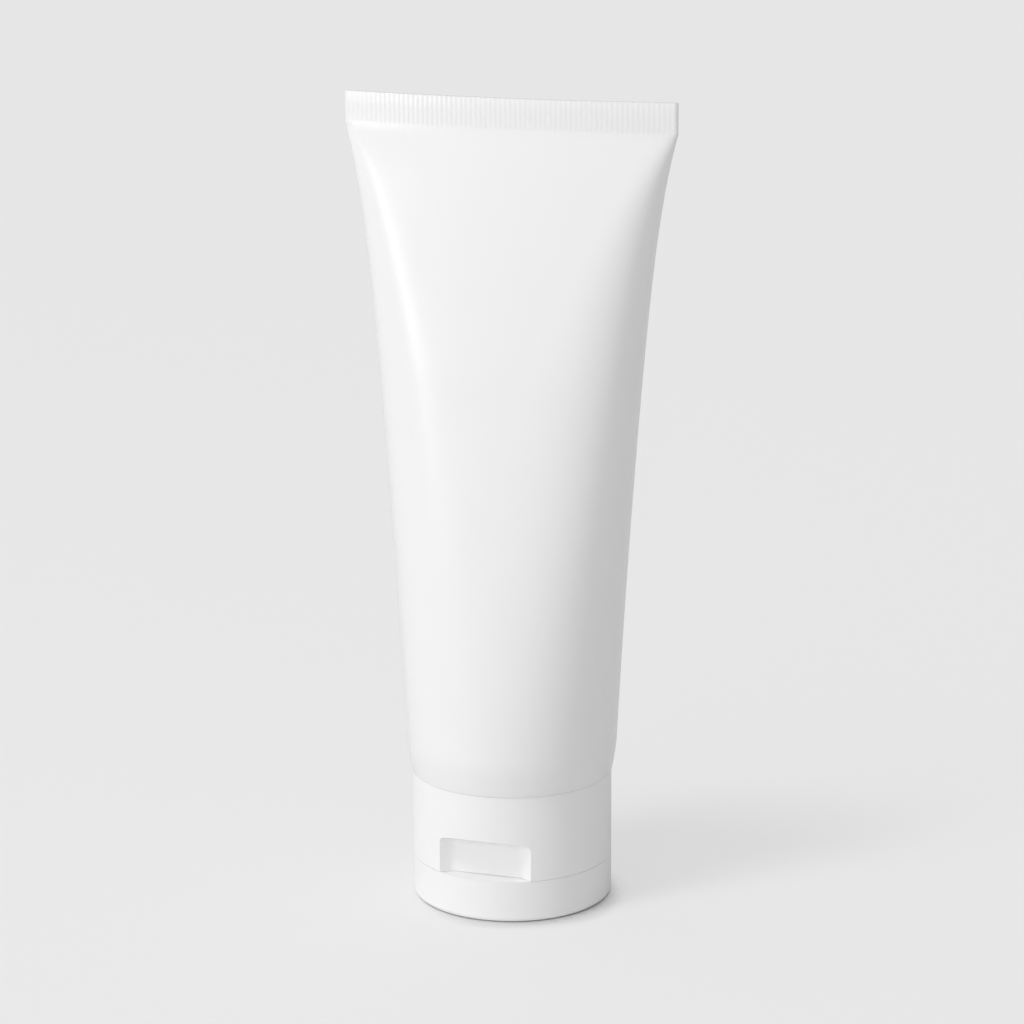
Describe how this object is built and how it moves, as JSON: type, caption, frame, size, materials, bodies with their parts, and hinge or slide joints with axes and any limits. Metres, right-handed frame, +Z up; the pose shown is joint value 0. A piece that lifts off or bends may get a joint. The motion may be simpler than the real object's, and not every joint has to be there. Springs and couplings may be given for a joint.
{
  "type": "skin cream tube",
  "caption": "Squeezable cream tube with a flat ribbed crimp, standing upright on a push-on flip-top closure with a thumb recess and a hinged lid.",
  "frame": {"origin": "centre of the closure's standing face, on the surface that the tube stands on", "axes": "+Z up from the closure to the crimp, -Y the front with the thumb recess, +Y the lid's hinge, X along the crimp"},
  "size_m": [0.0646, 0.0402, 0.1542],
  "materials": {
    "sleeve_plastic": "satin white extruded polyethylene",
    "shoulder_plastic": "plain white moulded polyethylene",
    "closure_plastic": "fine matt white moulded polypropylene",
    "cream": "smooth white cream"
  },
  "bodies": {
    "tube": {"tube_sleeve": "sleeve_plastic", "tube_shoulder": "shoulder_plastic", "cream_fill": "cream", "closure_base": "closure_plastic", "living_hinge": "closure_plastic"},
    "lid": {"closure_lid": "closure_plastic"}
  },
  "joints": [
    {"name": "lid_hinge", "type": "hinge", "parent": "tube", "child": "lid", "pos_m": [0, 0.01972, 0.0081], "axis": [1, 0, 0], "range_deg": [0, 180], "deforming": ["living_hinge"]}
  ]
}
